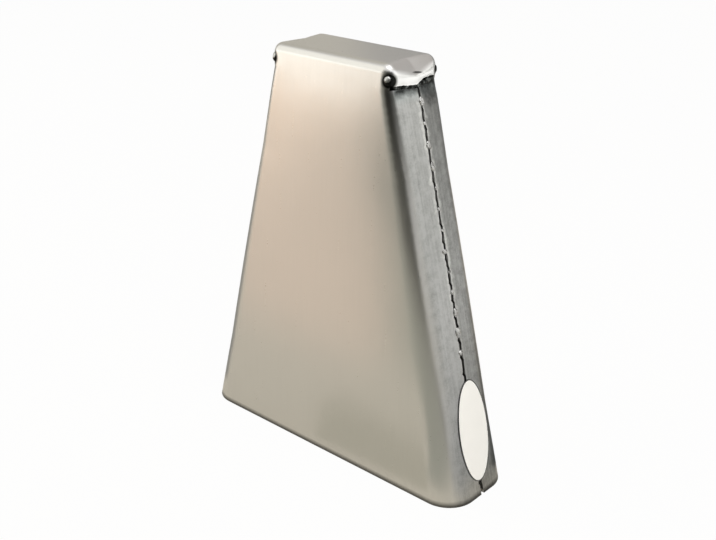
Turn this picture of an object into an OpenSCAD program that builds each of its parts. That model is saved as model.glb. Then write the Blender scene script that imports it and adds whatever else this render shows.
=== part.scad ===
// Hand-held bongo bell: one folded steel sheet, open at the mouth and closed at the narrow end.
// The mouth rests on Z = 0, the broad faces look along -Y and +Y, the narrow sides along -X and +X.

/* [Bell] */
// Height from the mouth to the closed end
bell_h = 203; // [160:1:240]
// Outside width across the mouth
mouth_w = 170; // [140:1:200]
// Outside depth across the mouth
mouth_d = 47; // [42:0.5:60]
// Outside width across the narrow sides, at their upper edges
shoulder_w = 72.5; // [56:0.5:96]
// Outside depth of the closed end, measured where the broad faces would cross it
top_d = 35; // [30:0.5:42]
// Thickness of the steel sheet
sheet_t = 1.5; // [1:0.1:2]

/* [Bends] */
// Outside radius of the corner bends at the mouth
mouth_r = 15; // [10:0.5:18]
// Inside radius of the folds round the closed end
fold_in_r = 2.5; // [1.5:0.1:4]
// Plan radius of the corners of the flat closed end
end_corner_r = 1; // [0.5:0.1:2]

/* [Closed end] */
// Extra fold radius at the middle of the narrow ends, where the closed end droops into its tabs
end_fold_extra = 3; // [0.5:0.1:5]
// Height of the upright middle of an end tab, between its fold and its lip
tab_upright = 0.5; // [0.2:0.1:5]
// Outward swell of an end tab at its middle
tab_crown = 1.2; // [0.2:0.1:2]
// Height of the flared lip at the bottom of an end tab
lip_h = 2; // [1:0.1:3]
// Outward flare of that lip
lip_flare = 0.2; // [0.1:0.1:1]
// Height of the groove between a lip and the side below it
groove_h = 1.6; // [1:0.1:3]

/* [Side seams] */
// How far a side stands out where its two flanges meet, at its upper end
side_ridge = 1.2; // [0:0.1:2]
// Width of the seam slit at the mouth
seam_gap_mouth = 2; // [0.8:0.1:2.4]
// Width of the seam slit at its upper end
seam_gap_top = 1.2; // [0.4:0.1:1.6]
// How far the seam lies behind the middle of the side, at the mouth
seam_back_mouth = 0.5; // [-2:0.1:3]
// How far the seam lies behind the middle of the side, at its upper end
seam_back_top = 2.8; // [-2:0.1:4]
// Distance from the groove to the first tack weld
tack_start = 7; // [4:0.5:20]
// Spacing of the tack welds
tack_pitch = 9.5; // [6:0.5:25]
// Radius of a tack weld's button
tack_r = 1.6; // [1.4:0.1:2.6]
// Height of a tack weld's button
tack_h = 0.7; // [0.3:0.1:1.3]

/* [End welds] */
// Radius of the ripples in the weld under each lip
ripple_r = 1.3; // [1.1:0.1:1.6]
// Spacing of those ripples
ripple_pitch = 1.9; // [1.2:0.1:2]
// Height of the middles of the corner blobs above the lips
blob_lift = 2.5; // [0:0.1:3]
// Radius of the weld blob on each upper corner
blob_r = 2.8; // [2.6:0.1:4]
// How far a corner blob stands out of its corner
blob_out = 1; // [0.6:0.1:1.8]
// How far a corner blob reaches through the sheet
blob_root = 0.6; // [0.2:0.1:1]

/* [Label] */
// Height of the blank oval label, along the side
label_h = 51.5; // [30:0.5:60]
// Width of the label
label_w = 22; // [14:0.5:24]
// Thickness of the label
label_t = 0.2; // [0.1:0.05:0.4]
// Distance from the mouth to the label's lower end
label_margin = 7.5; // [4:0.5:20]
// How far the label's middle lies behind the middle of the side
label_back = 0.6; // [-1:0.1:2]
// Lean of the label towards the back
label_lean = 2; // [0:0.5:6]
// Room between the label and the nearest tack weld
label_room = 5; // [3:0.5:20]

/* [Hidden] */
$fn = 48;
bend_steps = 8;
end_steps = 6;
fold_steps = 5;
label_steps = 48;
// Length by which a cutter runs past what it cuts
over = 1;

fold_r = fold_in_r + sheet_t;
top_r = end_corner_r + fold_r;
fold_z = bell_h - fold_r;
lip_top = fold_z - end_fold_extra - tab_upright;
lip_z = lip_top - lip_h;
side_h = lip_z - groove_h;
side_lean = atan((mouth_w - shoulder_w) / 2 / side_h);
face_lean = atan((mouth_d - top_d) / 2 / bell_h);
half_shoulder = shoulder_w / 2;
// Half width and half depth of the line of fold centres round the closed end
half_end_w = half_shoulder - fold_r;
half_end_d = mouth_d / 2 - fold_z * tan(face_lean) - fold_r / cos(face_lean);
// Plane between the middle of the bell and the side walls, where the side cutters start
cut_x = half_shoulder / 2;

// Outside half width of the sloping sides, half depth and corner radius at height z
function half_w(z) = mouth_w / 2 - z * tan(side_lean);
function half_d(z) = mouth_d / 2 - z * tan(face_lean);
function corner_r(z) = mouth_r + (top_r - mouth_r) * z / fold_z;

// One corner bend of an outline, a quarter circle that starts at the angle from
function bend(hx, hy, r, x_side, y_side, from) =
    [for (i = [0:bend_steps])
        let (a = from + 90 * i / bend_steps)
        [x_side * (hx - r) + r * cos(a), y_side * (hy - r) + r * sin(a)]];

// Points along one narrow end, between its two bends
function end_line(hx, hy, r, side) =
    [for (i = [1:end_steps - 1]) [side * hx, side * (hy - r) * (2 * i / end_steps - 1)]];

// Swell of a narrow end at the depth y, full at its middle and nothing at the broad faces
function swell(full, y, hy) = full * max(0, 1 - pow(y / hy, 2));

// Rounded outline of the bell at one height, whose narrow ends swell out by crown and down by droop
function outline(hx, hy, r, z, crown = 0, droop = 0) =
    [for (p = concat(bend(hx, hy, r, 1, -1, -90), end_line(hx, hy, r, 1), bend(hx, hy, r, 1, 1, 0),
                     bend(hx, hy, r, -1, 1, 90), end_line(hx, hy, r, -1), bend(hx, hy, r, -1, -1, 180)))
        [p.x + sign(p.x) * swell(crown, p.y, hy), p.y, z - swell(droop, p.y, hy)]];

// Ridge of the sides at height z, which grows from nothing at the mouth
function ridge(z) = side_ridge * z / side_h;

// Outline of the sloping walls at height z, moved inwards by inset
function wall_ring(z, inset) =
    outline(half_w(z) - inset / cos(side_lean), half_d(z) - inset / cos(face_lean), corner_r(z) - inset, z,
            ridge(z));

// Outline at height z above the groove, where the narrow ends are upright tabs
function tab_ring(z, inset, flare) =
    outline(half_shoulder - inset, half_d(z) - inset / cos(face_lean), corner_r(z) - inset, z,
            tab_crown + flare);

// Outline part of the way round the fold into the closed end, at the fold angle turn
function fold_ring(turn, inset) =
    let (r = (fold_r - inset) * cos(turn))
    outline(half_end_w + r, half_end_d + r, end_corner_r + r, fold_z + (fold_r - inset) * sin(turn),
            tab_crown - end_fold_extra * (1 - cos(turn)), end_fold_extra * (1 - sin(turn)));

// Outline of the flat that is left inside the folds of the closed end
function flat_ring(inset) =
    outline(half_end_w - end_fold_extra, half_end_d - end_corner_r, end_corner_r, bell_h - inset);

// All outlines of the bell from the height bottom up to the closed end
function skin(bottom, inset) =
    concat([wall_ring(bottom, inset), wall_ring(side_h, inset), tab_ring(lip_z, inset, lip_flare),
            tab_ring(lip_top, inset, 0)],
           [for (k = [0:fold_steps]) fold_ring(90 * k / fold_steps, inset)],
           [flat_ring(inset)]);

// Place of the seam and half its slit at height z
function seam_y(z) = seam_back_mouth + (seam_back_top - seam_back_mouth) * z / side_h;
function half_gap(z) = (seam_gap_mouth + (seam_gap_top - seam_gap_mouth) * z / side_h) / 2;
function slit_edge(y_side, z) = [seam_y(z) + y_side * half_gap(z), z];

// Label and tack weld places along the seam
label_z = (label_margin + label_h / 2) * cos(side_lean);
label_top = label_z + label_h / 2 * cos(side_lean);
tack_top = side_h - tack_start;
tack_bottom = label_top + label_room;
tack_count = floor((tack_top - tack_bottom) / tack_pitch) + 1;
tack_ball = (tack_r * tack_r + tack_h * tack_h) / (2 * tack_h);
// Length of a tack weld's root in the slit
tack_root = tack_r;

// Corner welds sit half way round the corner bends
blob_z = lip_z + blob_lift;
blob_x = half_shoulder - top_r + top_r * cos(45);
blob_y = half_d(blob_z) - top_r + top_r * sin(45);
// The rippled welds run along the straight of the narrow ends, from one corner bend to the other
ripple_y = half_d(lip_z) - top_r;
ripple_count = ceil(2 * ripple_y / ripple_pitch);

// Solid between outlines of equal count, listed from the bottom up
module loft(rings) {
    n = len(rings[0]);
    top = (len(rings) - 1) * n;
    sides = [for (k = [0:len(rings) - 2], i = [0:n - 1])
        let (a = k * n + i, b = k * n + (i + 1) % n)
        each [[a, a + n, b + n], [a, b + n, b]]];
    floor_face = [for (i = [0:n - 1]) i];
    roof_face = [for (i = [0:n - 1]) top + n - 1 - i];
    polyhedron([for (ring = rings) each ring], concat([floor_face, roof_face], sides));
}

// Puts its children, made for the right side, on the left one
module on_left() {
    mirror([1, 0, 0]) children();
}

// Puts its children on both narrow sides
module on_both_sides() {
    children();
    on_left() children();
}

// Puts its children on the right side's surface, X outwards and Z up the slope
module on_side(y, z) {
    out = swell(ridge(z), y, half_d(z));
    face_turn = atan(2 * ridge(z) * y / pow(half_d(z), 2));
    translate([half_w(z) + out, y, z]) rotate([0, -side_lean, face_turn]) children();
}

// Right seam slit, open from the mouth to the groove
module seam_slit() {
    low = -over;
    high = side_h + groove_h / 2;
    translate([cut_x, 0, 0]) rotate([90, 0, 90]) linear_extrude(mouth_w / 2 + over - cut_x)
        polygon([slit_edge(-1, low), slit_edge(1, low), slit_edge(1, high), slit_edge(-1, high)]);
}

// Right groove between the end tab's lip and the side
module groove() {
    translate([cut_x, -blob_y, side_h])
        cube([half_shoulder + tab_crown + lip_flare + over - cut_x, 2 * blob_y, groove_h]);
}

// Puts its children at the centre of the right corner weld's ball, on the front (-1) or the rear (1)
module at_corner(y_side) {
    translate([blob_x, y_side * blob_y, blob_z]) rotate([0, 0, y_side * 45])
        translate([blob_out - blob_r, 0, 0]) children();
}

// Seat that both right corner welds take in the sheet and in the end weld
module corner_seats() {
    for (y_side = [-1, 1]) at_corner(y_side) sphere(blob_r);
}

// Right corner weld: a ball cut flat a little inside the sheet
module corner_weld(y_side) {
    flat_z = blob_r - blob_out - sheet_t - blob_root;
    color("dimgray") at_corner(y_side) rotate([0, 90, 0]) intersection() {
        sphere(blob_r);
        translate([-2 * blob_r, -2 * blob_r, flat_z]) cube(4 * blob_r);
    }
}

// One tack weld: a low button on the side, with a root that fills the slit
module tack(z) {
    on_side(seam_y(z), z) intersection() {
        translate([tack_h - tack_ball, 0, 0]) rotate([0, 90, 0]) sphere(tack_ball);
        translate([0, -tack_ball, -tack_ball]) cube(2 * tack_ball);
    }
    intersection() {
        seam_slit();
        on_side(seam_y(z), z) translate([-sheet_t, -tack_r, -tack_root / 2])
            cube([sheet_t, 2 * tack_r, tack_root]);
    }
}

module seam_tacks() {
    color("gainsboro") for (i = [0:tack_count - 1]) tack(tack_top - i * tack_pitch);
}

// Rippled weld that joins the lip to the side's upper edge
module end_weld() {
    color("dimgray") difference() {
        translate([0, 0, side_h]) linear_extrude(groove_h) for (i = [0:ripple_count]) {
            y = ripple_y * (2 * i / ripple_count - 1);
            lean_out = swell(tab_crown + lip_flare, y, half_d(lip_z)) / 2;
            translate([half_shoulder - sheet_t / 2 + lean_out, y]) circle(ripple_r);
        }
        corner_seats();
    }
}

// The folded sheet: broad faces, closed end, end tabs and side flanges in one piece
module bell_body() {
    color("silver") difference() {
        loft(skin(0, 0));
        loft(skin(-over, sheet_t));
        on_both_sides() {
            seam_slit();
            groove();
            corner_seats();
        }
    }
}

// Blank oval label that follows the right side and its bends
module oval_label() {
    color("white") intersection() {
        difference() {
            loft([wall_ring(0, -label_t), wall_ring(side_h, -label_t)]);
            loft([wall_ring(-over, 0), wall_ring(side_h + over, 0)]);
        }
        on_side(label_back, label_z) rotate([-label_lean, 0, 0]) rotate([90, 0, 90])
            linear_extrude(2 * label_w, center = true)
                polygon([for (i = [0:label_steps - 1])
                    let (a = 360 * i / label_steps)
                    [label_w / 2 * cos(a), label_h / 2 * sin(a)]]);
    }
}

bell_body();
seam_tacks();  // right_seam_tacks
on_left() seam_tacks();  // left_seam_tacks
end_weld();  // right_end_weld
on_left() end_weld();  // left_end_weld
corner_weld(-1);  // front_right_corner_weld
on_left() corner_weld(-1);  // front_left_corner_weld
corner_weld(1);  // rear_right_corner_weld
on_left() corner_weld(1);  // rear_left_corner_weld
oval_label();
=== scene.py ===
import math
import bpy
from mathutils import Matrix, Vector


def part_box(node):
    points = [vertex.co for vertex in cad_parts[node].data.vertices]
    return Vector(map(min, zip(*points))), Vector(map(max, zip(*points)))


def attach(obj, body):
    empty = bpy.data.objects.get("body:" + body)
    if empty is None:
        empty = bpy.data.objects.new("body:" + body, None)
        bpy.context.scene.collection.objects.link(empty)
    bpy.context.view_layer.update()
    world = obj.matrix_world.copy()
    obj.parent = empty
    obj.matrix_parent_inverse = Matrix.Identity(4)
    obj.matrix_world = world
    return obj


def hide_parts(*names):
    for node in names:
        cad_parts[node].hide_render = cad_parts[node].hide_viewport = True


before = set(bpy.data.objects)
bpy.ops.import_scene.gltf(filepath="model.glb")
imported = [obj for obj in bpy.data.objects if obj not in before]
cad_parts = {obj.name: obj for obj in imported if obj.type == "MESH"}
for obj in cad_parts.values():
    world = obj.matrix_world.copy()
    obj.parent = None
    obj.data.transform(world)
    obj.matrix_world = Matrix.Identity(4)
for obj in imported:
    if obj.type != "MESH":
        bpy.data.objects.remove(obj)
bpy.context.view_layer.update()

mm = 0.001
quarterTurn = math.pi / 2
bpy.context.scene.view_settings.view_transform = "Standard"
print("frame loaded:", len(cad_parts), "nodes")


# a socket that takes part in Python sums, each operator adds a Math node
class Wire:
    def __init__(self, graph, socket):
        self.graph = graph
        self.socket = socket

    def math(self, operation, *others):
        values = {0: self}
        for place, other in enumerate(others):
            values[place + 1] = other
        return self.graph.add("ShaderNodeMath", {"operation": operation}, values)

    def flipped(self, operation, other):
        return self.graph.add("ShaderNodeMath", {"operation": operation}, {0: other, 1: self})

    def __add__(self, other):
        return self.math("ADD", other)

    def __radd__(self, other):
        return self.flipped("ADD", other)

    def __sub__(self, other):
        return self.math("SUBTRACT", other)

    def __rsub__(self, other):
        return self.flipped("SUBTRACT", other)

    def __mul__(self, other):
        return self.math("MULTIPLY", other)

    def __rmul__(self, other):
        return self.flipped("MULTIPLY", other)

    def __truediv__(self, other):
        return self.math("DIVIDE", other)

    def __rtruediv__(self, other):
        return self.flipped("DIVIDE", other)

    def __pow__(self, other):
        return self.math("POWER", other)

    def __lt__(self, other):
        return self.math("LESS_THAN", other)

    def __gt__(self, other):
        return self.math("GREATER_THAN", other)

    def __neg__(self):
        return self.math("MULTIPLY", -1.0)

    def __abs__(self):
        return self.math("ABSOLUTE")


# a node tree that gets its nodes from one method
class Graph:
    def __init__(self, tree):
        self.tree = tree
        tree.nodes.clear()

    def add(self, kind, settings=None, values=None, out=0):
        node = self.tree.nodes.new(kind)
        for name, value in (settings or {}).items():
            setattr(node, name, value)
        for name, value in (values or {}).items():
            for one in value if isinstance(value, list) else [value]:
                if isinstance(one, Wire):
                    self.tree.links.new(one.socket, node.inputs[name])
                else:
                    node.inputs[name].default_value = one
        return Wire(self, node.outputs[out]) if len(node.outputs) else node

    def vector(self, x, y, z):
        return self.add("ShaderNodeCombineXYZ", None, {0: x, 1: y, 2: z})

    def split(self, vector):
        parts = self.add("ShaderNodeSeparateXYZ", None, {0: vector}).socket.node
        return [Wire(self, output) for output in parts.outputs]

    def scaled(self, vector, factor):
        return self.add("ShaderNodeVectorMath", {"operation": "SCALE"}, {0: vector, "Scale": factor})

    def mixed(self, share, first, second):
        colours = {0: share, 6: first, 7: second}
        return self.add("ShaderNodeMix", {"data_type": "RGBA"}, colours, 2)

    def noise(self, vector, scale, detail=2.0, rough=0.5):
        values = {"Vector": vector, "Scale": scale, "Detail": detail, "Roughness": rough}
        return self.add("ShaderNodeTexNoise", None, values, 0)

    def length(self, vector):
        return self.add("ShaderNodeVectorMath", {"operation": "LENGTH"}, {0: vector}, "Value")

    def bump(self, finish, height):
        values = {"Strength": finish["bump"], "Distance": finish["bumpDepth"], "Height": height}
        return self.add("ShaderNodeBump", None, values)

    def random(self, low, high, seed):
        values = {2: low, 3: high, "Seed": seed}
        return self.add("FunctionNodeRandomValue", {"data_type": "FLOAT"}, values, 1)

    def resampled(self, curve, count):
        return self.add("GeometryNodeResampleCurve", {"mode": "COUNT"}, {"Curve": curve, "Count": count})


# these take numbers or wires
def cosine(angle):
    return angle.math("COSINE") if isinstance(angle, Wire) else math.cos(angle)


def sine(angle):
    return angle.math("SINE") if isinstance(angle, Wire) else math.sin(angle)


def clampTo(value, low, high):
    if isinstance(value, Wire):
        return value.math("MAXIMUM", low).math("MINIMUM", high)
    return min(max(value, low), high)


def away(value, level, slope):
    return (value - level) * slope


# 0 up to the level, then rising to 1
def ramp(value, level, slope):
    return clampTo(away(value, level, slope), 0, 1)


def colour(r, g, b):
    return (r, g, b, 1.0)


# a Geometry Nodes tree with one named input for each size
def newTree(name, sizes):
    tree = bpy.data.node_groups.new(name, "GeometryNodeTree")
    tree.interface.new_socket("Geometry", in_out="OUTPUT", socket_type="NodeSocketGeometry")
    for size, value in sizes.items():
        kind = "NodeSocketVector" if isinstance(value, (tuple, Vector)) else "NodeSocketFloat"
        tree.interface.new_socket(size, in_out="INPUT", socket_type=kind)
    graph = Graph(tree)
    inlet = tree.nodes.new("NodeGroupInput")
    return graph, {size: Wire(graph, inlet.outputs[size]) for size in sizes}


def endTree(graph, shape, material):
    shape = graph.add("GeometryNodeSetShadeSmooth", None, {"Geometry": shape})
    shape = graph.add("GeometryNodeRealizeInstances", None, {"Geometry": shape})
    shape = graph.add("GeometryNodeSetMaterial", None, {"Geometry": shape, "Material": material})
    graph.add("NodeGroupOutput", None, {"Geometry": shape})


# swaps live modifiers for the mesh that they make
def settle(piece):
    bpy.context.view_layer.update()
    shaped = piece.evaluated_get(bpy.context.evaluated_depsgraph_get())
    mesh = bpy.data.meshes.new_from_object(shaped)
    piece.modifiers.clear()
    piece.data = mesh
    mesh.name = piece.name


def newPiece(name, mesh=None):
    piece = bpy.data.objects.new(name, mesh or bpy.data.meshes.new(name))
    bpy.context.scene.collection.objects.link(piece)
    return piece


def growPiece(name, tree, sizes):
    piece = newPiece(name)
    modifier = piece.modifiers.new("shape", "NODES")
    modifier.node_group = tree
    for socket in tree.interface.items_tree:
        if socket.in_out == "INPUT":
            modifier[socket.identifier] = sizes[socket.name]
    settle(piece)
    return piece


def standFor(piece, node):
    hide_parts(node)
    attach(piece, "root")
    print("made", piece.name, len(piece.data.polygons), "faces")


# the folded sheet, with the overall sizes from the frame
lowCorner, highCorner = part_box("bell_body")
bell = {
    "height": highCorner[2] - lowCorner[2],
    "mouthWidth": highCorner[0] - lowCorner[0],
    "mouthDepth": highCorner[1] - lowCorner[1],
    "shoulderWidth": 72.5 * mm,
    "topDepth": 35 * mm,
    "thickness": 1.5 * mm,
    "mouthRadius": 15 * mm,
    "foldInside": 2.5 * mm,
    "endCorner": 1 * mm,
    "foldExtra": 3 * mm,        # how much wider the fold is at the middle of an end
    "endFacet": 0.75,           # how flat it is there
    "tabUpright": 0.5 * mm,
    "tabCrown": 1.2 * mm,
    "lipHeight": 2 * mm,
    "lipRise": 0.8 * mm,        # the lip's cut edge in front, behind and at the middle
    "lipRearRise": 1.0 * mm,
    "lipSag": 1.2 * mm,
    "rearClimb": 4.0,           # how steeply that edge climbs behind the middle
    "cornerFade": 4.0,          # and how steeply it settles at the corners
    "grooveSag": 1.3 * mm,      # the flanges' upper edge dips with it
    "sagReach": 0.65,
    "sagDepth": 7 * mm,
    "lipFlare": 0.1 * mm,
    "lipRagged": 2.4 * mm,      # swing of the tab's rough lower edge
    "raggedScale": 260.0,
    "raggedFlare": 0.4,
    "grooveHeight": 1.6 * mm,
    "seamGapMouth": 2 * mm,
    "seamGapTop": 1.2 * mm,
    "seamWobble": 0.4 * mm,
    "wobbleLength": 9 * mm,
    "wobbleRatio": 2.3,         # a second, shorter wave in the slit
    "wobblePhase": 1.0,
    "seamBackMouth": 0.0,       # seam behind the middle of the side
    "seamBackTop": 1.1 * mm,
    "faceCrown": 2.1 * mm,      # the broad faces bow in towards the bends
    "crownFade": 40 * mm,
    "crownPower": 3.4,
    "topEase": 0.7 * mm,        # the broad faces lean back below the fold
    "easeStart": 172 * mm,
    "easeLength": 30 * mm,
    "sideBulge": 0.55 * mm,     # the narrow sides and the broad faces swell at half height
    "faceBulge": 0.62 * mm,
    "ridge": 1.2 * mm,          # the flanges meet at a slight angle, at the upper end
    "dent": 0.8 * mm,           # hollow behind the seam, under the end tab
    "dentBack": 10 * mm,
    "dentZ": 189 * mm,
    "dentRadius": 7 * mm,
    "waviness": 0.12 * mm,
    "waveScale": 45.0,
}
bell["foldRadius"] = bell["foldInside"] + bell["thickness"]
bell["topRadius"] = bell["endCorner"] + bell["foldRadius"]
bell["foldZ"] = bell["height"] - bell["foldRadius"]
bell["lipTop"] = bell["foldZ"] - bell["foldExtra"] - bell["tabUpright"]
bell["lipZ"] = bell["lipTop"] - bell["lipHeight"]
bell["lipLow"] = bell["lipZ"] - bell["lipSag"]
bell["sideHeight"] = bell["lipZ"] - bell["grooveHeight"]
bell["sideSlope"] = (bell["mouthWidth"] - bell["shoulderWidth"]) / 2 / bell["sideHeight"]
bell["faceSlope"] = (bell["mouthDepth"] - bell["topDepth"]) / 2 / bell["height"]
sideLean = math.atan(bell["sideSlope"])
sheetGrid = {"columns": 130, "wallRows": 120, "lipRows": 6, "uprightRows": 2, "foldRows": 12,
             "capRows": 6, "mergeGap": 0.01 * mm}


# 0 at the mouth and at the groove, 1 at half height
def midHeight(size, z):
    part = clampTo(z / size["sideHeight"], 0, 1)
    return 4 * part * (1 - part)


def halfWidth(size, z):
    return size["mouthWidth"] / 2 - z * size["sideSlope"] + size["sideBulge"] * midHeight(size, z)


def halfDepth(size, z):
    ease = clampTo((z - size["easeStart"]) / size["easeLength"], 0, 1)
    straight = size["mouthDepth"] / 2 - z * size["faceSlope"] - size["topEase"] * ease * ease
    return straight + size["faceBulge"] * midHeight(size, z)


def bendRadius(size, z):
    return size["mouthRadius"] + (size["topRadius"] - size["mouthRadius"]) * z / size["foldZ"]


def seamPlace(size, z):
    return size["seamBackMouth"] + (size["seamBackTop"] - size["seamBackMouth"]) * z / size["sideHeight"]


def seamHalfGap(size, z):
    gap = size["seamGapMouth"] + (size["seamGapTop"] - size["seamGapMouth"]) * z / size["sideHeight"]
    return gap / 2


# the slit wanders, but not at its ends
def seamWobble(size, z):
    turn = z * (2 * math.pi) / size["wobbleLength"]
    fade = clampTo((size["sideHeight"] - z) / size["wobbleLength"], 0, 1)
    second = sine(turn * size["wobbleRatio"] + size["wobblePhase"])
    return size["seamWobble"] * fade * (sine(turn) + second)


def faceBow(size, z):
    low = clampTo(z / size["crownFade"], 0, 1)
    high = clampTo((size["sideHeight"] - z) / size["crownFade"], 0, 1)
    return size["faceCrown"] * low * high


def swell(full, y, half):
    return full * clampTo(1 - (y / half) ** 2, 0, 1)


def pointed(full, y, half):
    return full * clampTo(1 - abs(y) / half, 0, 1)


# how far the side stands out at the depth y, highest at the middle
def sideRidge(size, y, z):
    flat = halfDepth(size, z) - bendRadius(size, z) / 2
    return size["ridge"] * z / size["sideHeight"] * clampTo(1 - abs(y) / flat, 0, 1)


def sideDent(size, y, z):
    over = (y - size["dentBack"]) / size["dentRadius"]
    up = (z - size["dentZ"]) / size["dentRadius"]
    return size["dent"] * clampTo(1 - over * over - up * up, 0, 1)


# outline of half the sheet from the right seam to the left one, by the share u of its length
def foldedPath(u, halfW, halfD, radius, start):
    flat = halfD - radius - start
    face = 2 * (halfW - radius)
    arc = radius * quarterTurn
    run = u * (2 * flat + 2 * arc + face)
    firstFlat = clampTo(run, 0, flat)
    firstBend = clampTo((run - flat) / radius, 0, quarterTurn)
    along = clampTo(run - flat - arc, 0, face)
    lastBend = clampTo((run - flat - arc - face) / radius, 0, quarterTurn)
    lastFlat = clampTo(run - flat - 2 * arc - face, 0, flat)
    x = halfW - radius + radius * cosine(firstBend) - along - radius * sine(lastBend)
    across = start + firstFlat + radius * sine(firstBend) - radius * (1 - cosine(lastBend)) - lastFlat
    return x, across


def unitGrid(graph, columns, rows):
    values = {"Size X": 1.0, "Size Y": 1.0, "Vertices X": columns + 1, "Vertices Y": rows + 1}
    grid = graph.add("GeometryNodeMeshGrid", None, values)
    x, y = graph.split(graph.add("GeometryNodeInputPosition"))[:2]
    return grid, x + 0.5, (y + 0.5) * rows


# broad face and flanges of one half, rear is 1 for the rear half and -1 for the front one
def wallHalf(graph, size, rear):
    rows = sheetGrid["wallRows"]
    grid, u, row = unitGrid(graph, sheetGrid["columns"], rows)
    z = row / rows * size["sideHeight"]
    start = rear * (seamPlace(size, z) + seamWobble(size, z)) + seamHalfGap(size, z)
    x, across = foldedPath(u, halfWidth(size, z), halfDepth(size, z), bendRadius(size, z), start)
    bow = faceBow(size, z) * (abs(x) / halfWidth(size, z)) ** size["crownPower"]
    across = across - bow * across / halfDepth(size, z)
    out = sideRidge(size, across, z)
    if rear > 0:
        out = out - sideDent(size, across, z)
    x = x + x.math("SIGN") * out
    dip = clampTo(1 - abs(across) / halfDepth(size, z) / size["sagReach"], 0, 1) * size["grooveSag"]
    dip = dip * clampTo(1 - (size["sideHeight"] - z) / size["sagDepth"], 0, 1)
    place = graph.vector(x, rear * across, z - dip)
    wall = graph.add("GeometryNodeSetPosition", None, {"Geometry": grid, "Position": place})
    return wall if rear > 0 else graph.add("GeometryNodeFlipFaces", None, {"Mesh": wall})


# end tabs, folds and half of the flat closed end, from the upper edge of the wall
def closedHalf(graph, size, rear):
    lipRows, uprightRows = sheetGrid["lipRows"], sheetGrid["uprightRows"]
    foldRows, capRows = sheetGrid["foldRows"], sheetGrid["capRows"]
    rows = 1 + lipRows + uprightRows + foldRows + capRows
    grid, u, row = unitGrid(graph, sheetGrid["columns"], rows)
    groove = clampTo(row, 0, 1)
    lip = clampTo((row - 1) / lipRows, 0, 1)
    upright = clampTo((row - 1 - lipRows) / uprightRows, 0, 1)
    share = clampTo((row - 1 - lipRows - uprightRows) / foldRows, 0, 1)
    turn = share * quarterTurn
    cap = clampTo((row - 1 - lipRows - uprightRows - foldRows) / capRows, 0, 1)

    wallTop = size["sideHeight"]
    wallZ = wallTop + groove * size["grooveHeight"] + lip * size["lipHeight"]
    z = wallZ + upright * (size["foldZ"] - size["lipTop"])
    reach = size["foldRadius"] * (1 - cosine(turn))
    halfW = size["shoulderWidth"] / 2 - reach
    halfD = halfDepth(size, z) - reach
    radius = bendRadius(size, z) - reach
    start = rear * seamPlace(size, wallTop) + seamHalfGap(size, wallTop) * (1 - groove)
    x, across = foldedPath(u, halfW, halfD, radius, start)

    # the tab swells, its lip flares and its fold droops at the middle, where it is nearly a flat facet
    alongEdge = graph.vector(x.math("SIGN"), rear * across, 0.0)
    ragged = graph.noise(alongEdge, size["raggedScale"], 2.0) - 0.5
    ragged = ragged * size["lipRagged"] * groove
    flare = (size["lipFlare"] + ragged * size["raggedFlare"]) * (1 - lip) ** 2
    facet = (size["foldRadius"] + size["foldExtra"]) * size["endFacet"]
    inward = size["foldExtra"] * (1 - cosine(turn)) + facet * (share - 1 + cosine(turn))
    crown = groove * (size["tabCrown"] + flare)
    droop = size["foldExtra"] * upright * (1 - sine(turn)) + facet * (sine(turn) - share)
    x = x + x.math("SIGN") * (swell(crown, across, halfD) - pointed(inward, across, halfD))

    # its cut edge is lowest at the middle
    toRear = rear * across / halfD
    inFront = clampTo(-toRear, 0, 1) * (size["lipRise"] + size["lipSag"])
    inRear = clampTo(toRear * size["rearClimb"], 0, 1) * (size["lipRearRise"] + size["lipSag"])
    rise = inFront + inRear - size["lipSag"] + ragged
    rise = rise * groove * (1 - lip) * clampTo((1 - abs(across) / halfD) * size["cornerFade"], 0, 1)
    z = z + size["foldRadius"] * sine(turn) - pointed(droop, across, halfD) + rise
    middle = (halfW - size["foldExtra"]) * (1 - 2 * u)
    x = x + (middle - x) * cap
    across = across + (start - across) * cap

    # the groove is open from the middle of one bend to the middle of the other
    wallBend = bendRadius(size, wallTop)
    openFlat = halfDepth(size, wallTop) - wallBend - start
    openRun = openFlat + wallBend * quarterTurn / 2
    whole = 2 * openFlat + 2 * (halfWidth(size, wallTop) - wallBend) + math.pi * wallBend
    inGroove = (row < 1) * (u.math("MINIMUM", 1 - u) < openRun / whole)
    values = {"Geometry": grid, "Selection": inGroove}
    kept = graph.add("GeometryNodeDeleteGeometry", {"domain": "FACE"}, values)
    place = graph.vector(x, rear * across, z)
    end = graph.add("GeometryNodeSetPosition", None, {"Geometry": kept, "Position": place})
    return end if rear > 0 else graph.add("GeometryNodeFlipFaces", None, {"Mesh": end})


def sheetTree(material):
    graph, size = newTree("foldedSheet", bell)
    halves = [half(graph, size, rear) for half in (wallHalf, closedHalf) for rear in (-1, 1)]
    sheet = graph.add("GeometryNodeJoinGeometry", None, {"Geometry": halves})
    values = {"Geometry": sheet, "Distance": sheetGrid["mergeGap"]}
    sheet = graph.add("GeometryNodeMergeByDistance", None, values)
    place = graph.add("GeometryNodeInputPosition")
    swing = graph.noise(place, size["waveScale"]) * size["waviness"]
    shift = graph.scaled(graph.add("GeometryNodeInputNormal"), -swing)
    sheet = graph.add("GeometryNodeSetPosition", None, {"Geometry": sheet, "Offset": shift})
    endTree(graph, sheet, material)
    return graph.tree


def newMaterial(name):
    material = bpy.data.materials.new(name)
    material.use_nodes = True
    return material, Graph(material.node_tree)


def endMaterial(graph, values):
    shader = graph.add("ShaderNodeBsdfPrincipled", None, values)
    graph.add("ShaderNodeOutputMaterial", None, {"Surface": shader})


def endMetal(graph, tone, rough, finish, height):
    values = {"Base Color": tone, "Metallic": 1.0, "Roughness": rough}
    endMaterial(graph, {**values, "Normal": graph.bump(finish, height)})


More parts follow.
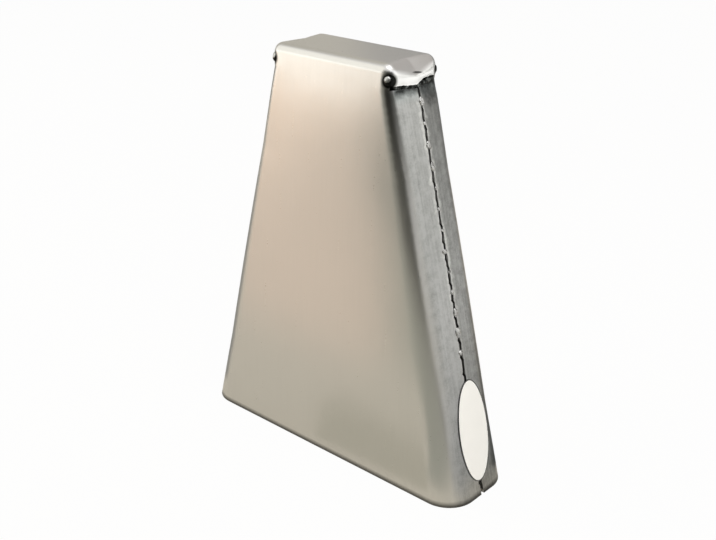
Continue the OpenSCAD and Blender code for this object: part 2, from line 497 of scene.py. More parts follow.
# corner welds, whose place the stains and painted shade of the steel need too
corner = {
    "radius": 2.8 * mm,
    "lift": 2.5 * mm,
    "out": 1 * mm,
    "lump": 0.7 * mm,
    "lumpScale": 420.0,
}
cornerZ = bell["lipZ"] + corner["lift"]
cornerArm = bell["topRadius"] * (1 - math.sqrt(0.5))
cornerX = bell["shoulderWidth"] / 2 - cornerArm
cornerY = halfDepth(bell, cornerZ) - cornerArm
cornerSunk = (corner["radius"] - corner["out"]) * math.sqrt(0.5)


steel = {
    "tone": colour(0.64, 0.63, 0.605),
    "shade": colour(0.50, 0.495, 0.475),
    "sideTone": colour(0.49, 0.49, 0.48),   # the flanges are ground and duller
    "sideShade": colour(0.26, 0.26, 0.25),
    "rearPaintedShade": 0.55,                      # and darker behind the seam, as painted shade
    "polishedAndHighlight": colour(0.93, 0.925, 0.91),  # the rubbed lips of the end tabs, brightened as a painted highlight
    "rubAndGlint": colour(0.80, 0.80, 0.77),     # the edges of the slits, rubbed and with a painted highlight
    "heatTint": colour(0.42, 0.47, 0.47),
    # the dark of soot and of the painted shade below
    "sootAndPaintedShade": colour(0.016, 0.017, 0.015),
    "roughness": 0.30,
    "sideRoughness": 0.06,
    "streakRoughness": 0.1,
    "grainRoughness": 0.06,
    "bump": 0.12,
    "bumpDepth": 0.1 * mm,
    "grainHeight": 0.6,
    "streakWidth": 1.3 * mm,
    "streakLength": 60 * mm,
    "grainScale": 1500.0,
    "cloudScale": 30.0,
    "blotchScale": 240.0,
    "sideFacing": (0.75, 6),                # this and the next seven: level and slope
    "lipFacing": (0.6, 8),
    "lipUp": (-0.58, 8),
    "bendFacing": (0.3, 5),
    "marks": (0.35, 1.2),
    "groundStreak": (0.4, 1.1),
    "groundBlotch": (0.45, 1.4),
    "groundGrain": (0.5, 0.8),
    "markShare": 0.12,
    "cloudShare": 0.25,
    "rubAndGlintShare": 0.8,
    "rubAndGlintCore": 1.3,
    "rubAndGlintWidth": 2.2 * mm,
    "rubAndGlintStart": 40 * mm,
    "rubAndGlintRise": 90 * mm,
    "heatShare": 0.8,
    "heatCloud": 1.6,
    "heatHeight": 7 * mm,
    "sootWidth": 1.4 * mm,
    "darkCore": 1.2,                       # over 1, so that the middle of a dark patch is full
    # painted shade on the upper bends
    "bendShadeStart": 145 * mm,
    "bendShadeRise": 45 * mm,
    # painted contact shadow along the mouth's edge
    "rimCore": 1.4,
    "rimDark": 2.2 * mm,
    # soot and painted shadow under the groove
    "grooveSootAndShade": 3.6 * mm,
    "rearSootAndShade": 0.6,                        # how much further it reaches behind the seam
    "creaseShadeBack": 1 * mm,                   # painted shade in the crease under the end fold
    "creaseShadeZ": 197.5 * mm,
    "creaseShadeWide": 3.6 * mm,
    "creaseShadeTall": 0.45 * mm,
    "creaseShadeTilt": 0.12,
    "creaseShadeWaver": 1 * mm,
    "slitReach": 1.0 * mm,                  # patches of soot and painted shade on the edges of the slits
    "slitFade": 0.35 * mm,
}
# how dark the stains and painted shade are, and how patchy
stainAndShadeShare = {"hollow": 0.65, "rim": 0.8, "paintedBendShade": 0.65, "under": 0.95, "paintedCreaseShade": 0.85, "burntAndShaded": 0.8}
patchiness = {"rubAndGlint": 4, "hollow": 2, "under": 1.4, "paintedCreaseShade": 1.5, "burntAndShaded": 5}


def steelMaterial():
    material, graph = newMaterial("satinSteel")
    place = graph.add("ShaderNodeTexCoord", None, None, "Object")
    x, y, z = graph.split(place)
    facing = graph.split(graph.add("ShaderNodeNewGeometry", None, None, "Normal"))
    onSide = ramp(abs(facing[0]), *steel["sideFacing"]) * (z < bell["lipLow"])
    seam = seamPlace(bell, z)
    behind = y > seam
    offSlit = abs(y - seam)

    # drawing marks run up the sheet and follow the slope of the sides
    level = abs(x) + z * bell["sideSlope"] * onSide
    lines = graph.vector(level, y, z * (steel["streakWidth"] / steel["streakLength"]))
    streak = graph.noise(lines, 1 / steel["streakWidth"], 3.0, 0.6)
    grain = graph.noise(place, steel["grainScale"], 3.0)
    cloud = graph.noise(place, steel["cloudScale"], 2.0)
    blotch = graph.noise(place, steel["blotchScale"], 3.0, 0.6)

    def patchy(patchKind, mask):
        return clampTo(mask + (blotch - 0.5) * patchiness[patchKind], 0, 1)

    marks = ramp(streak, *steel["marks"]) * steel["markShare"] + (cloud - 0.5) * steel["cloudShare"]
    tone = graph.mixed(clampTo(marks, 0, 1), steel["tone"], steel["shade"])
    # the rear flange is painted darker, as shade
    ground = away(streak, *steel["groundStreak"]) + away(blotch, *steel["groundBlotch"])
    ground = ground + away(grain, *steel["groundGrain"]) + behind * steel["rearPaintedShade"]
    ground = graph.mixed(clampTo(ground, 0, 1), steel["sideTone"], steel["sideShade"])
    tone = graph.mixed(onSide, tone, ground)
    # rubbed edges beside the slit, brightened as a painted highlight, higher up the flanges
    high = clampTo((z - steel["rubAndGlintStart"]) / steel["rubAndGlintRise"], 0, 1) * onSide
    beside = patchy("rubAndGlint", steel["rubAndGlintCore"] - offSlit / steel["rubAndGlintWidth"]) * high
    tone = graph.mixed(beside * steel["rubAndGlintShare"], tone, steel["rubAndGlint"])
    # the end tabs' lips, rubbed and brightened as a painted highlight
    onLip = ramp(abs(facing[0]), *steel["lipFacing"]) * ramp(-facing[2], *steel["lipUp"])
    tone = graph.mixed(onLip * (z > bell["lipLow"]), tone, steel["polishedAndHighlight"])

    # heat tint under the groove
    heat = clampTo((z - bell["sideHeight"] + steel["heatHeight"]) / steel["heatHeight"], 0, 1) * onSide
    heat = heat * (z < bell["sideHeight"]) * clampTo(cloud * steel["heatCloud"], 0, 1)
    tone = graph.mixed(heat * steel["heatShare"], tone, steel["heatTint"])

    # soot round the corner welds; painted shade in the hollow behind the seam, at the rim as a contact
    # shadow, on the upper bends and in the crease under the end fold; soot with painted shadow under the
    # groove and along the slits
    toCorner = graph.vector(abs(x) - cornerX, abs(y) - cornerY, z - cornerZ)
    dark = clampTo(1 - (graph.length(toCorner) - corner["radius"]) / steel["sootWidth"], 0, 1)
    stainsAndShade = {}
    # painted shade in the hollow under the end tab, behind the seam
    over = (y - bell["dentBack"]) / bell["dentRadius"]
    up = (z - bell["dentZ"]) / bell["dentRadius"]
    stainsAndShade["hollow"] = patchy("hollow", steel["darkCore"] - over * over - up * up) * onSide
    # painted contact shadow along the mouth's edge
    stainsAndShade["rim"] = clampTo(steel["rimCore"] - z / steel["rimDark"], 0, 1)
    # painted shade on the upper bends
    onBend = ramp(abs(facing[0]), *steel["bendFacing"]) * ramp(abs(facing[1]), *steel["bendFacing"])
    high = clampTo((z - steel["bendShadeStart"]) / steel["bendShadeRise"], 0, 1)
    stainsAndShade["paintedBendShade"] = high * onBend * (z < cornerZ)
    # soot and painted shadow under the overhanging lip
    sootAndShadeDepth = steel["grooveSootAndShade"] * (1 + behind * steel["rearSootAndShade"])
    below = (bell["sideHeight"] - z) / sootAndShadeDepth
    stainsAndShade["under"] = patchy("under", steel["darkCore"] - below) * onSide
    # painted shade in the crease under the end fold
    over = (y - steel["creaseShadeBack"]) / steel["creaseShadeWide"]
    waver = (cloud - 0.5) * steel["creaseShadeWaver"]
    up = (z - steel["creaseShadeZ"] + y * steel["creaseShadeTilt"] - waver) / steel["creaseShadeTall"]
    atEnd = abs(x) > cornerX - corner["radius"]
    stainsAndShade["paintedCreaseShade"] = patchy("paintedCreaseShade", steel["darkCore"] - over * over - up * up) * atEnd
    # soot and painted shade along the slit edges
    atSlit = patchy("burntAndShaded", (steel["slitReach"] - offSlit) / steel["slitFade"]) * onSide
    stainsAndShade["burntAndShaded"] = atSlit * (offSlit < 2 * steel["slitReach"])
    for patchKind, mask in stainsAndShade.items():
        dark = dark.math("MAXIMUM", mask * stainAndShadeShare[patchKind])
    tone = graph.mixed(dark, tone, steel["sootAndPaintedShade"])

    rough = steel["roughness"] + steel["sideRoughness"] * onSide
    rough = rough + (streak - 0.5) * steel["streakRoughness"] + (grain - 0.5) * steel["grainRoughness"]
    endMetal(graph, tone, rough, steel, streak + grain * steel["grainHeight"])
    return material


insideSteel = {
    "tone": colour(0.30, 0.29, 0.275),
    "shade": colour(0.17, 0.165, 0.155),
    "dark": (0.3, 2),       # level and slope
    "cloudScale": 60.0,
    "grainScale": 1200.0,
    "roughness": 0.5,
    "cloudRoughness": 0.2,
    "bump": 0.2,
    "bumpDepth": 0.1 * mm,
}


def insideMaterial():
    material, graph = newMaterial("insideSteel")
    place = graph.add("ShaderNodeTexCoord", None, None, "Object")
    cloud = graph.noise(place, insideSteel["cloudScale"], 4.0, 0.65)
    grain = graph.noise(place, insideSteel["grainScale"], 2.0)
    tone = graph.mixed(ramp(cloud, *insideSteel["dark"]), insideSteel["tone"], insideSteel["shade"])
    rough = insideSteel["roughness"] + (cloud - 0.5) * insideSteel["cloudRoughness"]
    endMetal(graph, tone, rough, insideSteel, grain)
    return material


edgeSteel = {
    "tone": colour(0.46, 0.455, 0.44),
    "shade": colour(0.22, 0.22, 0.21),
    "dark": (0.4, 3),       # level and slope
    "nickScale": 700.0,
    "roughness": 0.42,
    "nickRoughness": 0.2,
    "bump": 0.3,
    "bumpDepth": 0.1 * mm,
}


def edgeMaterial():
    material, graph = newMaterial("cutEdge")
    place = graph.add("ShaderNodeTexCoord", None, None, "Object")
    nick = graph.noise(place, edgeSteel["nickScale"], 3.0, 0.6)
    tone = graph.mixed(ramp(nick, *edgeSteel["dark"]), edgeSteel["tone"], edgeSteel["shade"])
    rough = edgeSteel["roughness"] + (nick - 0.5) * edgeSteel["nickRoughness"]
    endMetal(graph, tone, rough, edgeSteel, nick)
    return material


edge = {
    "bevel": 0.25 * mm,
    "bevelSteps": 2,
    "bevelAngle": math.radians(50),
    "smoothAngle": math.radians(38),
}


def makeSheet():
    piece = growPiece("bellSheet", sheetTree(steelMaterial()), bell)
    piece.data.materials.append(insideMaterial())
    piece.data.materials.append(edgeMaterial())
    wall = piece.modifiers.new("wall", "SOLIDIFY")
    wall.thickness = bell["thickness"]
    wall.offset = -1.0
    wall.material_offset = 1
    wall.material_offset_rim = 2
    settle(piece)
    for point in piece.data.vertices:
        point.co.z = max(point.co.z, 0.0)  # the mouth is cut flat
    soft = piece.modifiers.new("edges", "BEVEL")
    soft.width = edge["bevel"]
    soft.segments = edge["bevelSteps"]
    soft.limit_method = "ANGLE"
    soft.angle_limit = edge["bevelAngle"]
    settle(piece)
    piece.data.set_sharp_from_angle(angle=edge["smoothAngle"])
    standFor(piece, "bell_body")


makeSheet()


# welds
hands = {"right": 1, "left": -1}
brightWeld = {
    "tone": colour(0.54, 0.535, 0.52),
    "shade": colour(0.10, 0.10, 0.095),
    "dark": (0.50, 6),      # level and slope
    "roughness": 0.30,
}
darkWeld = {
    "tone": colour(0.17, 0.18, 0.175),
    "shade": colour(0.012, 0.013, 0.012),
    "dark": (0.36, 6),
    "roughness": 0.38,
}
weldGrain = {
    "patchScale": 380.0,
    "grainScale": 1600.0,
    "patchRoughness": 0.3,
    "bump": 0.25,
    "bumpDepth": 0.1 * mm,
}
weldGrid = {"ballSteps": 4, "cornerSteps": 5, "coreSides": 16}


def weldMaterial(name, weld):
    material, graph = newMaterial(name)
    place = graph.add("ShaderNodeTexCoord", None, None, "Object")
    patch = graph.noise(place, weldGrain["patchScale"], 3.0, 0.6)
    grain = graph.noise(place, weldGrain["grainScale"], 2.0)
    tone = graph.mixed(ramp(patch, *weld["dark"]), weld["tone"], weld["shade"])
    rough = weld["roughness"] + (patch - 0.5) * weldGrain["patchRoughness"]
    endMetal(graph, tone, rough, weldGrain, grain)
    return material


def lumpy(graph, shape, scale, depth):
    place = graph.add("GeometryNodeInputPosition")
    swing = (graph.noise(place, scale, 2.0) - 0.5) * depth
    shift = graph.scaled(graph.add("GeometryNodeInputNormal"), swing)
    return graph.add("GeometryNodeSetPosition", None, {"Geometry": shape, "Offset": shift})


tacks = {
    "start": 7 * mm,     # below the groove
    "pitch": 9.5 * mm,
    "lowest": 62.2 * mm,
    "radius": 1.6 * mm,
    "tall": 0.7 * mm,
    "sway": 0.6 * mm,
    "lump": 0.9 * mm,
    "lumpScale": 650.0,
}
tackRandom = {"leastSize": 0.5, "mostSize": 1.1, "leastLong": 0.7, "mostLong": 1.6, "seed": 11}


def seamPoint(side, z):
    y = seamPlace(bell, z)
    return Vector((side * (halfWidth(bell, z) + sideRidge(bell, y, z)), y, z))


def tackTree(material):
    sizes = {"from": Vector(), "to": Vector(), "count": 2.0, "lean": 0.0, "arch": 0.0}
    sizes.update({"radius": 0.0, "tall": 0.0, "sway": 0.0, "lump": 0.0, "lumpScale": 0.0})
    graph, size = newTree("seamTacks", sizes)
    line = graph.add("GeometryNodeCurvePrimitiveLine", None, {"Start": size["from"], "End": size["to"]})
    line = graph.resampled(line, size["count"])
    sway = graph.random(-1.0, 1.0, tackRandom["seed"]) * size["sway"]
    part = graph.add("GeometryNodeInputIndex") / (size["count"] - 1)
    shift = graph.vector(size["arch"] * 4 * part * (1 - part), sway, 0.0)
    line = graph.add("GeometryNodeSetPosition", None, {"Geometry": line, "Offset": shift})
    values = {"Radius": 1.0, "Subdivisions": weldGrid["ballSteps"]}
    ball = graph.add("GeometryNodeMeshIcoSphere", None, values)
    grow = graph.random(tackRandom["leastSize"], tackRandom["mostSize"], tackRandom["seed"] + 1)
    stretch = graph.random(tackRandom["leastLong"], tackRandom["mostLong"], tackRandom["seed"] + 2)
    scale = graph.scaled(graph.vector(size["tall"], size["radius"], size["radius"] * stretch), grow)
    turn = graph.vector(0.0, size["lean"], 0.0)
    values = {"Points": line, "Instance": ball, "Rotation": turn, "Scale": scale}
    row = graph.add("GeometryNodeInstanceOnPoints", None, values)
    row = graph.add("GeometryNodeRealizeInstances", None, {"Geometry": row})
    endTree(graph, lumpy(graph, row, size["lumpScale"], size["lump"]), material)
    return graph.tree


def makeTacks():
    tree = tackTree(weldMaterial("tackWeld", brightWeld))
    highest = bell["sideHeight"] - tacks["start"]
    count = math.floor((highest - tacks["lowest"]) / tacks["pitch"]) + 1
    lowest = highest - (count - 1) * tacks["pitch"]
    arch = bell["sideBulge"] * ((highest - lowest) / bell["sideHeight"]) ** 2
    for hand, side in hands.items():
        sizes = {"from": seamPoint(side, highest), "to": seamPoint(side, lowest), "count": float(count)}
        sizes.update({"arch": side * arch, "lean": -side * sideLean})
        piece = growPiece(hand + "Tacks", tree, {**tacks, **sizes})
        standFor(piece, hand + "_seam_tacks")


makeTacks()


ripples = {
    "radius": 1.3 * mm,
    "pitch": 1.9 * mm,
    "core": 1.2 * mm,
    "tall": 1.7 * mm,
    "sunk": 0.4 * mm,
    "lump": 0.7 * mm,
    "lumpScale": 600.0,
}
rippleRandom = {"leastSize": 0.8, "mostSize": 1.15, "seed": 5}


def rippleTree(material):
    sizes = {"from": Vector(), "bow": Vector(), "to": Vector(), "count": 2.0}
    sizes.update({"radius": 0.0, "core": 0.0, "tall": 0.0, "lump": 0.0, "lumpScale": 0.0})
    graph, size = newTree("endWeld", sizes)
    values = {"Start": size["from"], "Middle": size["bow"], "End": size["to"]}
    bead = graph.add("GeometryNodeCurveQuadraticBezier", None, values)
    bead = graph.resampled(bead, size["count"])
    values = {"Resolution": weldGrid["coreSides"], "Radius": size["core"]}
    ring = graph.add("GeometryNodeCurvePrimitiveCircle", None, values)
    values = {"Curve": bead, "Profile Curve": ring, "Fill Caps": True}
    core = graph.add("GeometryNodeCurveToMesh", None, values)
    values = {"Radius": 1.0, "Subdivisions": weldGrid["ballSteps"]}
    ball = graph.add("GeometryNodeMeshIcoSphere", None, values)
    grow = graph.random(rippleRandom["leastSize"], rippleRandom["mostSize"], rippleRandom["seed"])
    scale = graph.scaled(graph.vector(size["radius"], size["radius"], size["tall"]), grow)
    values = {"Points": bead, "Instance": ball, "Scale": scale}
    row = graph.add("GeometryNodeInstanceOnPoints", None, values)
    row = graph.add("GeometryNodeRealizeInstances", None, {"Geometry": row})
    weld = graph.add("GeometryNodeJoinGeometry", None, {"Geometry": [core, row]})
    endTree(graph, lumpy(graph, weld, size["lumpScale"], size["lump"]), material)
    return graph.tree


def makeEndWelds():
    tree = rippleTree(weldMaterial("endWeld", darkWeld))
    reach = halfDepth(bell, bell["lipZ"]) - bell["topRadius"]
    z = bell["sideHeight"] + (bell["grooveHeight"] + bell["lipRise"]) / 2
    x = bell["shoulderWidth"] / 2 - bell["thickness"] / 2 - ripples["sunk"]
    rearZ = bell["sideHeight"] + (bell["grooveHeight"] + bell["lipRearRise"]) / 2
    lowZ = bell["sideHeight"] + (bell["grooveHeight"] - bell["lipSag"] - bell["grooveSag"]) / 2
    bowZ = 2 * lowZ - (z + rearZ) / 2
    bow = bell["tabCrown"] + bell["lipFlare"]
    count = math.ceil(2 * reach / ripples["pitch"]) + 1
    for hand, side in hands.items():
        sizes = {"from": Vector((side * x, -reach, z)), "to": Vector((side * x, reach, rearZ))}
        sizes.update({"count": float(count), "bow": Vector((side * (x + bow), 0.0, bowZ))})
        piece = growPiece(hand + "EndWeld", tree, {**ripples, **sizes})
        standFor(piece, hand + "_end_weld")


makeEndWelds()


cornerMetal = {
    "tone": colour(0.55, 0.55, 0.53),
    # near-black as painted dark reflection round the painted highlight
    "sootAndPaintedShade": colour(0.012, 0.012, 0.011),
    "highlightSpot": Vector((0.35, 0.85, 0.38)),  # painted highlight, its place from the weld's middle
    "bright": 0.9 * mm,
    "fade": 0.7 * mm,
    "ragged": 1.2 * mm,
    "patchScale": 700.0,
    "roughness": 0.34,
    "patchRoughness": 0.3,
    "bump": 0.4,
    "bumpDepth": 0.2 * mm,
}


def cornerMaterial():
    material, graph = newMaterial("cornerWeld")
    place = graph.add("ShaderNodeTexCoord", None, None, "Object")
    x, y, z = graph.split(place)
    highlightSpot = cornerMetal["highlightSpot"] * corner["radius"]
    toHighlight = graph.vector(abs(x) - cornerX + cornerSunk - highlightSpot.x, abs(y) - cornerY + cornerSunk - highlightSpot.y,
                          z - cornerZ - highlightSpot.z)
    patch = graph.noise(place, cornerMetal["patchScale"], 3.0, 0.6)
    # painted highlight round the spot, fading to near-black painted dark reflection
    gap = graph.length(toHighlight) + (patch - 0.5) * cornerMetal["ragged"] - cornerMetal["bright"]
    dark = clampTo(gap / cornerMetal["fade"], 0, 1)
    tone = graph.mixed(dark, cornerMetal["tone"], cornerMetal["sootAndPaintedShade"])
    rough = cornerMetal["roughness"] + (patch - 0.5) * cornerMetal["patchRoughness"]
    endMetal(graph, tone, rough, cornerMetal, patch)
    return material


def cornerTree(material):
    sizes = {"centre": Vector(), "radius": 0.0, "lump": 0.0, "lumpScale": 0.0}
    graph, size = newTree("cornerWeld", sizes)
    values = {"Radius": size["radius"], "Subdivisions": weldGrid["cornerSteps"]}
    ball = graph.add("GeometryNodeMeshIcoSphere", None, values)
    ball = graph.add("GeometryNodeTransform", None, {"Geometry": ball, "Translation": size["centre"]})
    endTree(graph, lumpy(graph, ball, size["lumpScale"], size["lump"]), material)
    return graph.tree


def makeCornerWelds():
    tree = cornerTree(cornerMaterial())
    for depth, rear in (("front", -1), ("rear", 1)):
        for hand, side in hands.items():
            centre = Vector((side * (cornerX - cornerSunk), rear * (cornerY - cornerSunk), cornerZ))
            piece = growPiece(depth + hand.title() + "Weld", tree, {**corner, "centre": centre})
            standFor(piece, depth + "_" + hand + "_corner_weld")


makeCornerWelds()


label = {
    "tall": 51.5 * mm,
    "wide": 22 * mm,
    "thickness": 0.2 * mm,
    "margin": 7.5 * mm,
    "back": 0.6 * mm,
    "lean": math.radians(2),
    "rings": 24,
    "spokes": 96,
    "line": 0.55 * mm,
    "white": colour(0.92, 0.915, 0.89),
    "aged": colour(0.80, 0.79, 0.75),
    "agedFrom": 0.3,
    "agedShare": 0.25,
    "ink": colour(0.035, 0.035, 0.035),
    "speckScale": 900.0,
    "cloudScale": 120.0,
    "roughness": 0.32,
    "cloudRoughness": 0.1,
    "coat": 0.2,
    "bump": 0.05,
    "bumpDepth": 0.05 * mm,
}


# point of the right side at the distance run round from its middle and the height z
def sideSurface(run, z):
    radius = bendRadius(bell, z)
    flat = halfDepth(bell, z) - radius
    bend = clampTo((abs(run) - flat) / radius, 0, quarterTurn)
    across = math.copysign(min(abs(run), flat) + radius * math.sin(bend), run)
    x = halfWidth(bell, z) - radius * (1 - math.cos(bend)) + sideRidge(bell, across, z)
    return Vector((x, across, z))


def labelMaterial():
    material, graph = newMaterial("labelFilm")
    place = graph.add("ShaderNodeTexCoord", None, None, "Object")
    inset = graph.split(graph.add("ShaderNodeUVMap", {"uv_map": "inset"}))[0]
    speck = graph.noise(place, label["speckScale"], 2.0)
    cloud = graph.noise(place, label["cloudScale"], 2.0)
    aged = clampTo(cloud - label["agedFrom"], 0, 1) * label["agedShare"]
    white = graph.mixed(aged, label["white"], label["aged"])
    tone = graph.mixed(inset < label["line"] / label["wide"], white, label["ink"])
    rough = label["roughness"] + (cloud - 0.5) * label["cloudRoughness"]
    values = {"Base Color": tone, "Roughness": rough, "Coat Weight": label["coat"]}
    endMaterial(graph, {**values, "Normal": graph.bump(label, speck)})
    return material


def makeLabel():
    rings, spokes = label["rings"], label["spokes"]
    halfWide, halfTall = label["wide"] / 2, label["tall"] / 2
    middleZ = (label["margin"] + halfTall) * math.cos(sideLean)
    points, insets = [], []
    for ring in range(rings + 1):
        for spoke in range(spokes if ring else 1):
            angle = 2 * math.pi * spoke / spokes
            across = halfWide * math.cos(angle) * ring / rings
            up = halfTall * math.sin(angle) * ring / rings
            run = label["back"] + across * math.cos(label["lean"]) + up * math.sin(label["lean"])
            rise = up * math.cos(label["lean"]) - across * math.sin(label["lean"])
            points.append(sideSurface(run, middleZ + rise * math.cos(sideLean)))
            steepness = math.hypot(math.cos(angle) / halfWide, math.sin(angle) / halfTall)
            insets.append((1 - ring / rings) / steepness / label["wide"])
    faces = [(0, 1 + spoke, 1 + (spoke + 1) % spokes) for spoke in range(spokes)]
    for ring in range(rings - 1):
        low = 1 + ring * spokes
        for spoke in range(spokes):
            near, far = low + spoke, low + (spoke + 1) % spokes
            faces.append((near, near + spokes, far + spokes, far))
    mesh = bpy.data.meshes.new("ovalLabel")
    mesh.from_pydata(points, [], faces)
    layer = mesh.uv_layers.new(name="inset")
    for loop in mesh.loops:
        layer.data[loop.index].uv = (insets[loop.vertex_index], 0.5)
    mesh.shade_smooth()
    mesh.materials.append(labelMaterial())
    piece = newPiece("ovalLabel", mesh)
    film = piece.modifiers.new("film", "SOLIDIFY")
    film.thickness = label["thickness"]
    film.offset = 1.0
    settle(piece)
    piece.data.set_sharp_from_angle(angle=edge["smoothAngle"])
    standFor(piece, "oval_label")


makeLabel()


# camera at the photograph's place, angles in degrees
view = {
    "azimuth": 41.33,
    "elevation": 23.8,
    "roll": 0.44,
    "distance": 507 * mm,
    "target": Vector((15.34, -12.96, 101.5)) * mm,
    "lens": 53.71,
    "sensor": 36.0,
}


def makeCamera():
    azimuth, elevation, roll = (math.radians(view[key]) for key in ("azimuth", "elevation", "roll"))
    back = Vector((math.sin(azimuth) * math.cos(elevation), -math.cos(azimuth) * math.cos(elevation),
                   math.sin(elevation)))
    right = Vector((math.cos(azimuth), math.sin(azimuth), 0.0))
    up = back.cross(right)
    rightTilted = math.cos(roll) * right + math.sin(roll) * up
    upTilted = math.cos(roll) * up - math.sin(roll) * right
    lens = bpy.data.cameras.new("camera")
    lens.lens = view["lens"]
    lens.sensor_width = view["sensor"]
    camera = bpy.data.objects.new("camera", lens)
    bpy.context.scene.collection.objects.link(camera)
    turn = Matrix((rightTilted, upTilted, back)).transposed().to_4x4()
    camera.matrix_world = Matrix.Translation(view["target"] + back * view["distance"]) @ turn
    bpy.context.scene.camera = camera


makeCamera()


# studio: white surroundings, a pale floor, soft lamps and grey cards that only reflections see
studio = {
    "fill": colour(0.42, 0.42, 0.42),
    "floorSize": 3.0,
    "floorTone": colour(0.56, 0.52, 0.435),
    "white": colour(1, 1, 1),
    "cameraWhite": 0.97,
    "mirrorWhite": 0.15,
}
lamps = {
    "key": {"place": (-0.88, -0.55, 0.72), "aim": (0.0, 0.0, 0.15), "size": (1.3, 0.9), "power": 9.5,
            "colour": (1.0, 0.97, 0.90), "mirrored": False},
    "side": {"place": (0.95, -0.35, 0.75), "aim": (0.05, 0.0, 0.08), "size": (0.7, 0.7), "power": 7.0,
             "colour": (1.0, 0.98, 0.95), "mirrored": False},
    "overhead": {"place": (0.3, -0.12, 1.25), "aim": (0.0, 0.0, 0.1), "size": (0.7, 0.7), "power": 4.0,
                 "colour": (1.0, 1.0, 1.0), "mirrored": True},
}


# an upright card between two azimuths round the bell, and one that lies on the floor
def upright(azimuths, distance, heights):
    turns = [math.radians(azimuth) for azimuth in azimuths]
    (x1, y1), (x2, y2) = [(distance * math.cos(turn), distance * math.sin(turn)) for turn in turns]
    low, high = heights
    return [(x1, y1, low), (x2, y2, low), (x2, y2, high), (x1, y1, high)]


def lying(*plan):
    return [(x, y, 1 * mm) for x, y in plan]


cards = {
    "warmWall": (upright((-165, -108), 0.92, (0.0, 0.072)), colour(1.54, 1.05, 0.70)),
    "paleWall": (upright((-165, -108), 0.92, (0.072, 0.27)), colour(2.05, 2.05, 1.97)),
    "paleUpper": (upright((-165, -108), 0.92, (0.27, 1.3)), colour(1.40, 1.38, 1.30)),
    "warmBoard": (lying((-0.22, -0.11), (-0.03, -0.12), (-0.43, -0.76), (-0.92, -0.25)),
                  colour(0.92, 0.765, 0.635)),
    "shadeWall": (upright((-128, -105), 0.56, (0.02, 0.075)), colour(0.28, 0.28, 0.24)),
    "shadeUpper": (upright((-118, -105), 0.56, (0.075, 0.3)), colour(0.50, 0.49, 0.43)),
    "shadeStep": (upright((-123, -118), 0.56, (0.075, 0.125)), colour(0.50, 0.49, 0.43)),
    "frontWall": (upright((-105, -80), 0.56, (0.02, 0.5)), colour(0.19, 0.19, 0.165)),
    "darkWall": (upright((-80, -62), 0.56, (0.02, 0.5)), colour(0.07, 0.07, 0.06)),
    "cameraWall": (upright((-62, -31), 0.56, (0.025, 0.5)), colour(0.04, 0.04, 0.033)),
    "cornerWall": (upright((-31, -10), 0.56, (0.19, 0.5)), colour(0.03, 0.03, 0.023)),
    "flangeWall": (upright((-10, 53), 0.9, (0.19, 0.5)), colour(1.15, 1.15, 1.11)),
    "flangeMiddle": (upright((-10, 53), 0.9, (0.13, 0.19)), colour(0.92, 0.92, 0.885)),
    "flangeLow": (upright((-10, 53), 0.9, (0.0, 0.13)), colour(0.68, 0.68, 0.65)),
    "frontBoard": (lying((-0.045, -0.15), (0.10, -0.14), (0.17, -0.38), (-0.23, -0.40)),
                   colour(0.47, 0.47, 0.40)),
    "shadeBoard": (lying((-0.23, -0.40), (0.17, -0.38), (0.22, -0.53), (-0.44, -0.62)),
                   colour(0.30, 0.30, 0.255)),
    "cameraBoard": (lying((0.055, -0.045), (0.14, -0.05), (0.55, -0.34), (0.15, -0.55)),
                    colour(0.44, 0.44, 0.38)),
    "creaseBoard": (lying((0.17, -0.075), (0.18, -0.055), (0.55, -0.20), (0.55, -0.34)),
                    colour(0.12, 0.12, 0.10)),
    "nearBoard": (lying((0.11, -0.03), (0.24, -0.08), (0.20, 0.20), (0.10, 0.09)),
                  colour(0.48, 0.48, 0.47)),
    "whiteBoard": (lying((0.24, -0.08), (0.55, -0.20), (0.22, 0.55), (0.20, 0.20)),
                   colour(0.75, 0.75, 0.74)),
    "brightBoard": (lying((0.56, 0.12), (0.95, 0.30), (0.26, 0.97), (0.22, 0.55)),
                    colour(1.7, 1.7, 1.7)),
    "backWall": (upright((53, 131), 1.05, (0.0, 0.5)), colour(0.35, 0.35, 0.34)),
    "backBoard": (lying((0.06, 0.025), (0.10, 0.03), (0.11, 0.30), (0.04, 0.30)),
                  colour(0.08, 0.09, 0.085)),
    "leftBoard": (lying((-0.10, 0.025), (-0.5, 0.3), (-0.8, -0.1), (-0.10, -0.025)),
                  colour(0.30, 0.30, 0.28)),
    "footBoard": (lying((-0.01, -0.03), (0.065, -0.03), (0.045, -0.07), (-0.04, -0.07)),
                  colour(0.56, 0.53, 0.44)),
    "topWall": (upright((131, 184), 1.1, (0.2, 1.5)), colour(0.62, 0.59, 0.52)),
    "upperWall": (upright((40, 131), 1.05, (0.5, 1.5)), colour(0.62, 0.59, 0.575)),
}


def aimed(place, aim):
    turn = (Vector(aim) - Vector(place)).to_track_quat("-Z", "Y")
    return Matrix.Translation(place) @ turn.to_matrix().to_4x4()


def makeLamps():
    for name, lamp in lamps.items():
        light = bpy.data.lights.new(name, "AREA")
        light.shape = "RECTANGLE"
        light.size, light.size_y = lamp["size"]
        light.energy = lamp["power"]
        light.color = lamp["colour"]
        stand = bpy.data.objects.new(name, light)
        bpy.context.scene.collection.objects.link(stand)
        stand.matrix_world = aimed(lamp["place"], lamp["aim"])
        stand.visible_glossy = lamp["mirrored"]


def flatPanel(name, corners):
    mesh = bpy.data.meshes.new(name)
    mesh.from_pydata(corners, [], [(0, 1, 2, 3)])
    panel = newPiece(name, mesh)
    return panel


def hideFromAllButMirrors(panel):
    panel.visible_camera = False
    panel.visible_diffuse = False
    panel.visible_shadow = False
    panel.visible_transmission = False


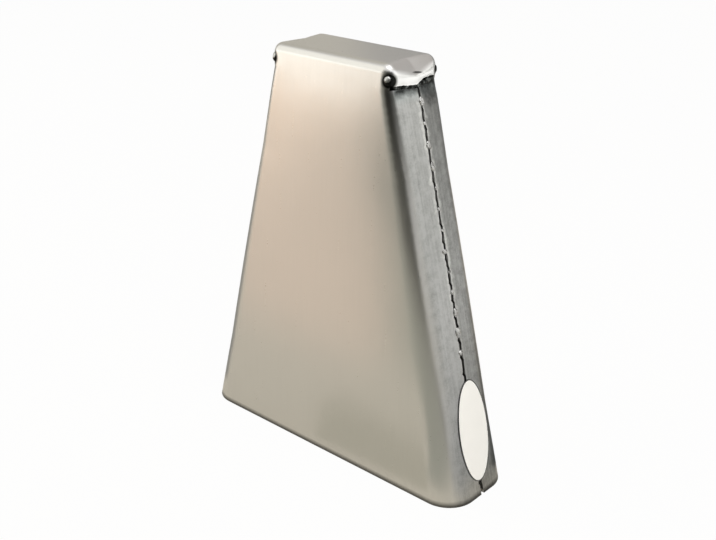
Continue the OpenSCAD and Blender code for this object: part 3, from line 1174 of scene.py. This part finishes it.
def makeCards():
    for name, (corners, glowColour) in cards.items():
        panel = flatPanel(name, corners)
        material, graph = newMaterial(name)
        glow = graph.add("ShaderNodeEmission", None, {"Color": glowColour, "Strength": 1.0})
        graph.add("ShaderNodeOutputMaterial", None, {"Surface": glow})
        panel.data.materials.append(material)
        hideFromAllButMirrors(panel)


def lightPath(graph, name):
    return graph.add("ShaderNodeLightPath", None, None, name)


# 1 on the floor inside the mouth
def underBell(graph):
    x, y = graph.split(graph.add("ShaderNodeTexCoord", None, None, "Object"))[:2]
    radius = bell["mouthRadius"]
    overX = clampTo(abs(x) - bell["mouthWidth"] / 2 + radius, 0, radius)
    overY = clampTo(abs(y) - bell["mouthDepth"] / 2 + radius, 0, radius)
    return overX * overX + overY * overY < (radius - bell["thickness"]) ** 2


def makeFloor():
    half = studio["floorSize"] / 2
    corners = [(-half, -half, 0.0), (half, -half, 0.0), (half, half, 0.0), (-half, half, 0.0)]
    panel = flatPanel("floor", corners)
    material, graph = newMaterial("paleFloor")
    matt = graph.add("ShaderNodeBsdfDiffuse", None, {"Color": studio["floorTone"]})
    white = graph.add("ShaderNodeEmission", None, {"Color": studio["white"], "Strength": 1.0})
    mirrored = lightPath(graph, "Is Glossy Ray") + lightPath(graph, "Is Transmission Ray")
    share = lightPath(graph, "Is Camera Ray") * studio["cameraWhite"] + mirrored * studio["mirrorWhite"]
    share = share * (1 - underBell(graph))  # it is dark inside the bell
    mix = graph.add("ShaderNodeMixShader", None, {0: clampTo(share, 0, 1), 1: matt, 2: white})
    graph.add("ShaderNodeOutputMaterial", None, {"Surface": mix})
    panel.data.materials.append(material)


def makeWorld():
    world = bpy.data.worlds.new("studio")
    world.use_nodes = True
    graph = Graph(world.node_tree)
    white = graph.add("ShaderNodeBackground", None, {"Color": studio["white"], "Strength": 1.0})
    fill = graph.add("ShaderNodeBackground", None, {"Color": studio["fill"], "Strength": 1.0})
    seen = lightPath(graph, "Is Camera Ray") + lightPath(graph, "Is Glossy Ray")
    seen = clampTo(seen + lightPath(graph, "Is Transmission Ray"), 0, 1)
    mix = graph.add("ShaderNodeMixShader", None, {0: seen, 1: fill, 2: white})
    graph.add("ShaderNodeOutputWorld", None, {"Surface": mix})
    bpy.context.scene.world = world


makeWorld()
makeFloor()
makeLamps()
makeCards()
print("studio made:", len(lamps), "lamps and", len(cards), "cards")
